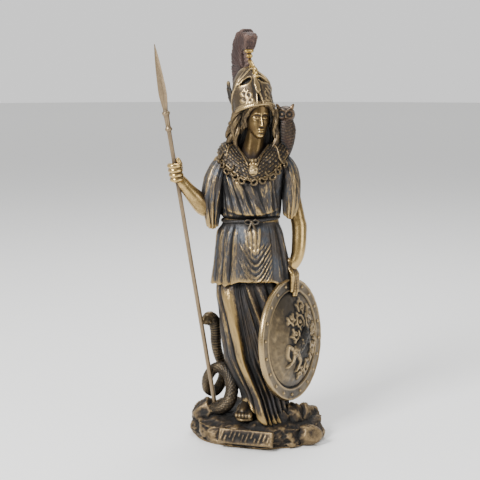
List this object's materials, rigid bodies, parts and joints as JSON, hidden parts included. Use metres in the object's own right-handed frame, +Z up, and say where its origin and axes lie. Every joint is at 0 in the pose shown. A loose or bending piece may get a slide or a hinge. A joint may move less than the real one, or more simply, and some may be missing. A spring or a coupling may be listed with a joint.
{
  "type": "armed goddess statuette",
  "caption": "Standing helmeted goddess in a belted folded tunic, with a spear, a round shield, a shoulder owl and a coiled serpent, on an oval rock plinth.",
  "frame": {"origin": "middle of the plinth's flat underside", "axes": "+Z up along the figure; she faces -Y, so +X is her left, where the shield stands"},
  "size_m": [0.1225, 0.0899, 0.2988],
  "materials": {
    "cast_bronze": "cold-cast bronze, near black in the hollows, rubbed pale gold on skin and fold crests",
    "shield_bronze": "satin grey-gold bronze, darker round the relief",
    "spear_bronze": "satin tan bronze"
  },
  "bodies": {
    "root": {"figure_on_rock_plinth": "cast_bronze", "shield": "shield_bronze", "spear": "spear_bronze"}
  },
  "joints": []
}
